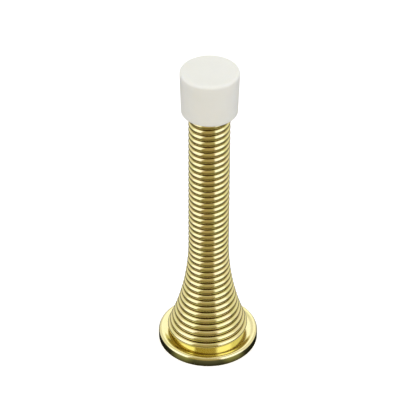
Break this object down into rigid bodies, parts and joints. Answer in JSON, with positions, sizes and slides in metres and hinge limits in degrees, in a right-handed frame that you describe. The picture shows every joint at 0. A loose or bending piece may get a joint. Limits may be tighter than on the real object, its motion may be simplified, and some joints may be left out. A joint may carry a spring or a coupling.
{
  "type": "spring door stop",
  "caption": "Sprung door stop: close-wound flared brass coil on a round pressed base, with a white rubber buffer tip; the coil bends any way and springs back.",
  "frame": {"origin": "centre of the base's underside, where it meets the floor or wall", "axes": "+Z along the spring from the base to the tip; the wire's cuts face +X (east), +Y (north), -X (west) and -Y (south)"},
  "size_m": [0.0249, 0.0248, 0.08],
  "materials": {
    "base_brass": "polished and lacquered pressed sheet",
    "hub_brass": "machined",
    "spring_wire": "brass plated steel wire, bright",
    "white_rubber": "smooth moulded, satin, off-white"
  },
  "bodies": {
    "base": {"base_plate": "base_brass", "spring_hub": "hub_brass", "spring_foot": "spring_wire"},
    "coil_01": {"spring_coil_01": "spring_wire"},
    "coil_02": {"spring_coil_02": "spring_wire"},
    "coil_03": {"spring_coil_03": "spring_wire"},
    "coil_04": {"spring_coil_04": "spring_wire"},
    "coil_05": {"spring_coil_05": "spring_wire"},
    "coil_06": {"spring_coil_06": "spring_wire"},
    "coil_07": {"spring_coil_07": "spring_wire"},
    "coil_08": {"spring_coil_08": "spring_wire"},
    "coil_09": {"spring_coil_09": "spring_wire"},
    "coil_10": {"spring_coil_10": "spring_wire"},
    "coil_11": {"spring_coil_11": "spring_wire"},
    "coil_12": {"spring_coil_12": "spring_wire"},
    "coil_13": {"spring_coil_13": "spring_wire"},
    "coil_14": {"spring_coil_14": "spring_wire"},
    "coil_15": {"spring_coil_15": "spring_wire"},
    "coil_16": {"spring_coil_16": "spring_wire"},
    "coil_17": {"spring_coil_17": "spring_wire"},
    "coil_18": {"spring_coil_18": "spring_wire"},
    "coil_19": {"spring_coil_19": "spring_wire"},
    "coil_20": {"spring_coil_20": "spring_wire"},
    "coil_21": {"spring_coil_21": "spring_wire"},
    "coil_22": {"spring_coil_22": "spring_wire"},
    "coil_23": {"spring_coil_23": "spring_wire"},
    "coil_24": {"spring_coil_24": "spring_wire"},
    "coil_25": {"spring_coil_25": "spring_wire"},
    "coil_26": {"spring_coil_26": "spring_wire"},
    "coil_27": {"spring_coil_27": "spring_wire"},
    "coil_28": {"spring_coil_28": "spring_wire"},
    "coil_29": {"spring_coil_29": "spring_wire"},
    "coil_30": {"spring_coil_30": "spring_wire"},
    "coil_31": {"spring_coil_31": "spring_wire"},
    "coil_32": {"spring_coil_32": "spring_wire"},
    "coil_33": {"spring_coil_33": "spring_wire"},
    "coil_34": {"spring_coil_34": "spring_wire"},
    "coil_35": {"spring_coil_35": "spring_wire"},
    "coil_36": {"spring_coil_36": "spring_wire"},
    "coil_37": {"spring_coil_37": "spring_wire"},
    "coil_38": {"spring_coil_38": "spring_wire"},
    "coil_39": {"spring_coil_39": "spring_wire"},
    "coil_40": {"spring_coil_40": "spring_wire"},
    "coil_41": {"spring_coil_41": "spring_wire"},
    "coil_42": {"spring_coil_42": "spring_wire"},
    "coil_43": {"spring_coil_43": "spring_wire"},
    "coil_44": {"spring_coil_44": "spring_wire"},
    "coil_45": {"spring_coil_45": "spring_wire"},
    "coil_46": {"spring_coil_46": "spring_wire"},
    "coil_47": {"spring_coil_47": "spring_wire"},
    "coil_48": {"spring_coil_48": "spring_wire"},
    "coil_49": {"spring_coil_49": "spring_wire"},
    "coil_50": {"spring_coil_50": "spring_wire"},
    "coil_51": {"spring_coil_51": "spring_wire"},
    "coil_top": {"spring_top": "spring_wire"},
    "tip": {"rubber_tip": "white_rubber"}
  },
  "joints": [
    {"name": "bend_west", "type": "hinge", "parent": "base", "child": "coil_01", "pos_m": [-0.00881, 0, 0.00526], "axis": [0.0106, -0.9996, 0.0275], "range_deg": [0, 5], "stiffness_Nm_per_rad": 0.5},
    {"name": "bend_north", "type": "hinge", "parent": "coil_01", "child": "coil_02", "pos_m": [0, 0.00838, 0.00641], "axis": [-0.9995, -0.0106, 0.0291], "range_deg": [0, 5], "stiffness_Nm_per_rad": 0.5},
    {"name": "bend_east", "type": "hinge", "parent": "coil_02", "child": "coil_03", "pos_m": [0.00797, 0, 0.00756], "axis": [-0.0106, 0.9995, 0.0308], "range_deg": [0, 5], "stiffness_Nm_per_rad": 0.5},
    {"name": "bend_south", "type": "hinge", "parent": "coil_03", "child": "coil_04", "pos_m": [0, -0.00758, 0.00872], "axis": [0.9994, 0.0106, 0.0326], "range_deg": [0, 5], "stiffness_Nm_per_rad": 0.5},
    {"name": "bend_west_02", "type": "hinge", "parent": "coil_04", "child": "coil_05", "pos_m": [-0.00721, 0, 0.00989], "axis": [0.0105, -0.9994, 0.0344], "range_deg": [0, 5], "stiffness_Nm_per_rad": 0.5},
    {"name": "bend_north_02", "type": "hinge", "parent": "coil_05", "child": "coil_06", "pos_m": [0, 0.00687, 0.01107], "axis": [-0.9993, -0.0104, 0.0364], "range_deg": [0, 5], "stiffness_Nm_per_rad": 0.5},
    {"name": "bend_east_02", "type": "hinge", "parent": "coil_06", "child": "coil_07", "pos_m": [0.00654, 0, 0.01225], "axis": [-0.0102, 0.9992, 0.0384], "range_deg": [0, 5], "stiffness_Nm_per_rad": 0.5},
    {"name": "bend_south_02", "type": "hinge", "parent": "coil_07", "child": "coil_08", "pos_m": [0, -0.00623, 0.01343], "axis": [0.9991, 0.01, 0.0404], "range_deg": [0, 5], "stiffness_Nm_per_rad": 0.5},
    {"name": "bend_west_03", "type": "hinge", "parent": "coil_08", "child": "coil_09", "pos_m": [-0.00595, 0, 0.01462], "axis": [0.0097, -0.999, 0.0425], "range_deg": [0, 5], "stiffness_Nm_per_rad": 0.5},
    {"name": "bend_north_03", "type": "hinge", "parent": "coil_09", "child": "coil_10", "pos_m": [0, 0.00569, 0.01582], "axis": [-0.999, -0.0094, 0.0447], "range_deg": [0, 5], "stiffness_Nm_per_rad": 0.5},
    {"name": "bend_east_03", "type": "hinge", "parent": "coil_10", "child": "coil_11", "pos_m": [0.00545, 0, 0.01702], "axis": [-0.009, 0.9989, 0.0468], "range_deg": [0, 5], "stiffness_Nm_per_rad": 0.5},
    {"name": "bend_south_03", "type": "hinge", "parent": "coil_11", "child": "coil_12", "pos_m": [0, -0.00523, 0.01822], "axis": [0.9988, 0.0085, 0.0489], "range_deg": [0, 5], "stiffness_Nm_per_rad": 0.5},
    {"name": "bend_west_04", "type": "hinge", "parent": "coil_12", "child": "coil_13", "pos_m": [-0.00503, 0, 0.01943], "axis": [0.0079, -0.9987, 0.051], "range_deg": [0, 5], "stiffness_Nm_per_rad": 0.5},
    {"name": "bend_north_04", "type": "hinge", "parent": "coil_13", "child": "coil_14", "pos_m": [0, 0.00485, 0.02064], "axis": [-0.9986, -0.0073, 0.053], "range_deg": [0, 5], "stiffness_Nm_per_rad": 0.5},
    {"name": "bend_east_04", "type": "hinge", "parent": "coil_14", "child": "coil_15", "pos_m": [0.00469, 0, 0.02186], "axis": [-0.0065, 0.9985, 0.0549], "range_deg": [0, 5], "stiffness_Nm_per_rad": 0.5},
    {"name": "bend_south_04", "type": "hinge", "parent": "coil_15", "child": "coil_16", "pos_m": [0, -0.00456, 0.02307], "axis": [0.9984, 0.0057, 0.0566], "range_deg": [0, 5], "stiffness_Nm_per_rad": 0.5},
    {"name": "bend_west_05", "type": "hinge", "parent": "coil_16", "child": "coil_17", "pos_m": [-0.00445, 0, 0.02429], "axis": [0.0048, -0.9983, 0.0581], "range_deg": [0, 5], "stiffness_Nm_per_rad": 0.5},
    {"name": "bend_north_05", "type": "hinge", "parent": "coil_17", "child": "coil_18", "pos_m": [0, 0.00436, 0.02551], "axis": [-0.9982, -0.0039, 0.0594], "range_deg": [0, 5], "stiffness_Nm_per_rad": 0.5},
    {"name": "bend_east_05", "type": "hinge", "parent": "coil_18", "child": "coil_19", "pos_m": [0.00429, 0, 0.02674], "axis": [-0.0029, 0.9982, 0.0604], "range_deg": [0, 5], "stiffness_Nm_per_rad": 0.5},
    {"name": "bend_south_05", "type": "hinge", "parent": "coil_19", "child": "coil_20", "pos_m": [0, -0.00424, 0.02796], "axis": [0.9981, 0.0018, 0.0611], "range_deg": [0, 5], "stiffness_Nm_per_rad": 0.5},
    {"name": "bend_west_06", "type": "hinge", "parent": "coil_20", "child": "coil_21", "pos_m": [-0.00421, 0, 0.02918], "axis": [0.0007, -0.9981, 0.0615], "range_deg": [0, 5], "stiffness_Nm_per_rad": 0.5},
    {"name": "bend_north_06", "type": "hinge", "parent": "coil_21", "child": "coil_22", "pos_m": [0, 0.00421, 0.03041], "axis": [-0.9981, 0, 0.0616], "range_deg": [0, 5], "stiffness_Nm_per_rad": 0.5},
    {"name": "bend_east_06", "type": "hinge", "parent": "coil_22", "child": "coil_23", "pos_m": [0.00421, 0, 0.03163], "axis": [0, 0.9981, 0.0616], "range_deg": [0, 5], "stiffness_Nm_per_rad": 0.5},
    {"name": "bend_south_06", "type": "hinge", "parent": "coil_23", "child": "coil_24", "pos_m": [0, -0.00421, 0.03286], "axis": [0.9981, 0, 0.0616], "range_deg": [0, 5], "stiffness_Nm_per_rad": 0.5},
    {"name": "bend_west_07", "type": "hinge", "parent": "coil_24", "child": "coil_25", "pos_m": [-0.00421, 0, 0.03408], "axis": [0, -0.9981, 0.0616], "range_deg": [0, 5], "stiffness_Nm_per_rad": 0.5},
    {"name": "bend_north_07", "type": "hinge", "parent": "coil_25", "child": "coil_26", "pos_m": [0, 0.00421, 0.03531], "axis": [-0.9981, 0, 0.0616], "range_deg": [0, 5], "stiffness_Nm_per_rad": 0.5},
    {"name": "bend_east_07", "type": "hinge", "parent": "coil_26", "child": "coil_27", "pos_m": [0.00421, 0, 0.03653], "axis": [0, 0.9981, 0.0616], "range_deg": [0, 5], "stiffness_Nm_per_rad": 0.5},
    {"name": "bend_south_07", "type": "hinge", "parent": "coil_27", "child": "coil_28", "pos_m": [0, -0.00421, 0.03775], "axis": [0.9981, 0, 0.0616], "range_deg": [0, 5], "stiffness_Nm_per_rad": 0.5},
    {"name": "bend_west_08", "type": "hinge", "parent": "coil_28", "child": "coil_29", "pos_m": [-0.00421, 0, 0.03898], "axis": [0, -0.9981, 0.0616], "range_deg": [0, 5], "stiffness_Nm_per_rad": 0.5},
    {"name": "bend_north_08", "type": "hinge", "parent": "coil_29", "child": "coil_30", "pos_m": [0, 0.00421, 0.0402], "axis": [-0.9981, 0, 0.0616], "range_deg": [0, 5], "stiffness_Nm_per_rad": 0.5},
    {"name": "bend_east_08", "type": "hinge", "parent": "coil_30", "child": "coil_31", "pos_m": [0.00421, 0, 0.04143], "axis": [0, 0.9981, 0.0616], "range_deg": [0, 5], "stiffness_Nm_per_rad": 0.5},
    {"name": "bend_south_08", "type": "hinge", "parent": "coil_31", "child": "coil_32", "pos_m": [0, -0.00421, 0.04265], "axis": [0.9981, 0, 0.0616], "range_deg": [0, 5], "stiffness_Nm_per_rad": 0.5},
    {"name": "bend_west_09", "type": "hinge", "parent": "coil_32", "child": "coil_33", "pos_m": [-0.00421, 0, 0.04388], "axis": [0, -0.9981, 0.0616], "range_deg": [0, 5], "stiffness_Nm_per_rad": 0.5},
    {"name": "bend_north_09", "type": "hinge", "parent": "coil_33", "child": "coil_34", "pos_m": [0, 0.00421, 0.0451], "axis": [-0.9981, 0, 0.0616], "range_deg": [0, 5], "stiffness_Nm_per_rad": 0.5},
    {"name": "bend_east_09", "type": "hinge", "parent": "coil_34", "child": "coil_35", "pos_m": [0.00421, 0, 0.04633], "axis": [0, 0.9981, 0.0616], "range_deg": [0, 5], "stiffness_Nm_per_rad": 0.5},
    {"name": "bend_south_09", "type": "hinge", "parent": "coil_35", "child": "coil_36", "pos_m": [0, -0.00421, 0.04755], "axis": [0.9981, 0, 0.0616], "range_deg": [0, 5], "stiffness_Nm_per_rad": 0.5},
    {"name": "bend_west_10", "type": "hinge", "parent": "coil_36", "child": "coil_37", "pos_m": [-0.00421, 0, 0.04877], "axis": [0, -0.9981, 0.0616], "range_deg": [0, 5], "stiffness_Nm_per_rad": 0.5},
    {"name": "bend_north_10", "type": "hinge", "parent": "coil_37", "child": "coil_38", "pos_m": [0, 0.00421, 0.05], "axis": [-0.9981, 0, 0.0616], "range_deg": [0, 5], "stiffness_Nm_per_rad": 0.5},
    {"name": "bend_east_10", "type": "hinge", "parent": "coil_38", "child": "coil_39", "pos_m": [0.00421, 0, 0.05122], "axis": [0, 0.9981, 0.0616], "range_deg": [0, 5], "stiffness_Nm_per_rad": 0.5},
    {"name": "bend_south_10", "type": "hinge", "parent": "coil_39", "child": "coil_40", "pos_m": [0, -0.00421, 0.05245], "axis": [0.9981, 0, 0.0616], "range_deg": [0, 5], "stiffness_Nm_per_rad": 0.5},
    {"name": "bend_west_11", "type": "hinge", "parent": "coil_40", "child": "coil_41", "pos_m": [-0.00421, 0, 0.05367], "axis": [0, -0.9981, 0.0616], "range_deg": [0, 5], "stiffness_Nm_per_rad": 0.5},
    {"name": "bend_north_11", "type": "hinge", "parent": "coil_41", "child": "coil_42", "pos_m": [0, 0.00421, 0.0549], "axis": [-0.9981, 0, 0.0616], "range_deg": [0, 5], "stiffness_Nm_per_rad": 0.5},
    {"name": "bend_east_11", "type": "hinge", "parent": "coil_42", "child": "coil_43", "pos_m": [0.00421, 0, 0.05612], "axis": [0, 0.9981, 0.0616], "range_deg": [0, 5], "stiffness_Nm_per_rad": 0.5},
    {"name": "bend_south_11", "type": "hinge", "parent": "coil_43", "child": "coil_44", "pos_m": [0, -0.00421, 0.05735], "axis": [0.9981, 0, 0.0616], "range_deg": [0, 5], "stiffness_Nm_per_rad": 0.5},
    {"name": "bend_west_12", "type": "hinge", "parent": "coil_44", "child": "coil_45", "pos_m": [-0.00421, 0, 0.05857], "axis": [0, -0.9981, 0.0616], "range_deg": [0, 5], "stiffness_Nm_per_rad": 0.5},
    {"name": "bend_north_12", "type": "hinge", "parent": "coil_45", "child": "coil_46", "pos_m": [0, 0.00421, 0.05979], "axis": [-0.9981, 0, 0.0616], "range_deg": [0, 5], "stiffness_Nm_per_rad": 0.5},
    {"name": "bend_east_12", "type": "hinge", "parent": "coil_46", "child": "coil_47", "pos_m": [0.00421, 0, 0.06102], "axis": [0, 0.9981, 0.0616], "range_deg": [0, 5], "stiffness_Nm_per_rad": 0.5},
    {"name": "bend_south_12", "type": "hinge", "parent": "coil_47", "child": "coil_48", "pos_m": [0, -0.00421, 0.06224], "axis": [0.9981, 0, 0.0616], "range_deg": [0, 5], "stiffness_Nm_per_rad": 0.5},
    {"name": "bend_west_13", "type": "hinge", "parent": "coil_48", "child": "coil_49", "pos_m": [-0.00421, 0, 0.06347], "axis": [0, -0.9981, 0.0616], "range_deg": [0, 5], "stiffness_Nm_per_rad": 0.5},
    {"name": "bend_north_13", "type": "hinge", "parent": "coil_49", "child": "coil_50", "pos_m": [0, 0.00421, 0.06469], "axis": [-0.9981, 0, 0.0616], "range_deg": [0, 5], "stiffness_Nm_per_rad": 0.5},
    {"name": "bend_east_13", "type": "hinge", "parent": "coil_50", "child": "coil_51", "pos_m": [0.00421, 0, 0.06592], "axis": [0, 0.9981, 0.0616], "range_deg": [0, 5], "stiffness_Nm_per_rad": 0.5},
    {"name": "bend_south_13", "type": "hinge", "parent": "coil_51", "child": "coil_top", "pos_m": [0, -0.00421, 0.06714], "axis": [0.9981, 0, 0.0616], "range_deg": [0, 5], "stiffness_Nm_per_rad": 0.5},
    {"name": "tip_pull", "type": "slide", "parent": "coil_top", "child": "tip", "axis": [0, 0, 1], "range_m": [0, 0.012]}
  ],
  "couplings": [
    {"joint": "bend_west_02", "follows": "bend_west", "ratio": 1},
    {"joint": "bend_north_02", "follows": "bend_north", "ratio": 1},
    {"joint": "bend_east_02", "follows": "bend_east", "ratio": 1},
    {"joint": "bend_south_02", "follows": "bend_south", "ratio": 1},
    {"joint": "bend_west_03", "follows": "bend_west", "ratio": 1},
    {"joint": "bend_north_03", "follows": "bend_north", "ratio": 1},
    {"joint": "bend_east_03", "follows": "bend_east", "ratio": 1},
    {"joint": "bend_south_03", "follows": "bend_south", "ratio": 1},
    {"joint": "bend_west_04", "follows": "bend_west", "ratio": 1},
    {"joint": "bend_north_04", "follows": "bend_north", "ratio": 1},
    {"joint": "bend_east_04", "follows": "bend_east", "ratio": 1},
    {"joint": "bend_south_04", "follows": "bend_south", "ratio": 1},
    {"joint": "bend_west_05", "follows": "bend_west", "ratio": 1},
    {"joint": "bend_north_05", "follows": "bend_north", "ratio": 1},
    {"joint": "bend_east_05", "follows": "bend_east", "ratio": 1},
    {"joint": "bend_south_05", "follows": "bend_south", "ratio": 1},
    {"joint": "bend_west_06", "follows": "bend_west", "ratio": 1},
    {"joint": "bend_north_06", "follows": "bend_north", "ratio": 1},
    {"joint": "bend_east_06", "follows": "bend_east", "ratio": 1},
    {"joint": "bend_south_06", "follows": "bend_south", "ratio": 1},
    {"joint": "bend_west_07", "follows": "bend_west", "ratio": 1},
    {"joint": "bend_north_07", "follows": "bend_north", "ratio": 1},
    {"joint": "bend_east_07", "follows": "bend_east", "ratio": 1},
    {"joint": "bend_south_07", "follows": "bend_south", "ratio": 1},
    {"joint": "bend_west_08", "follows": "bend_west", "ratio": 1},
    {"joint": "bend_north_08", "follows": "bend_north", "ratio": 1},
    {"joint": "bend_east_08", "follows": "bend_east", "ratio": 1},
    {"joint": "bend_south_08", "follows": "bend_south", "ratio": 1},
    {"joint": "bend_west_09", "follows": "bend_west", "ratio": 1},
    {"joint": "bend_north_09", "follows": "bend_north", "ratio": 1},
    {"joint": "bend_east_09", "follows": "bend_east", "ratio": 1},
    {"joint": "bend_south_09", "follows": "bend_south", "ratio": 1},
    {"joint": "bend_west_10", "follows": "bend_west", "ratio": 1},
    {"joint": "bend_north_10", "follows": "bend_north", "ratio": 1},
    {"joint": "bend_east_10", "follows": "bend_east", "ratio": 1},
    {"joint": "bend_south_10", "follows": "bend_south", "ratio": 1},
    {"joint": "bend_west_11", "follows": "bend_west", "ratio": 1},
    {"joint": "bend_north_11", "follows": "bend_north", "ratio": 1},
    {"joint": "bend_east_11", "follows": "bend_east", "ratio": 1},
    {"joint": "bend_south_11", "follows": "bend_south", "ratio": 1},
    {"joint": "bend_west_12", "follows": "bend_west", "ratio": 1},
    {"joint": "bend_north_12", "follows": "bend_north", "ratio": 1},
    {"joint": "bend_east_12", "follows": "bend_east", "ratio": 1},
    {"joint": "bend_south_12", "follows": "bend_south", "ratio": 1},
    {"joint": "bend_west_13", "follows": "bend_west", "ratio": 1},
    {"joint": "bend_north_13", "follows": "bend_north", "ratio": 1},
    {"joint": "bend_east_13", "follows": "bend_east", "ratio": 1},
    {"joint": "bend_south_13", "follows": "bend_south", "ratio": 1}
  ]
}
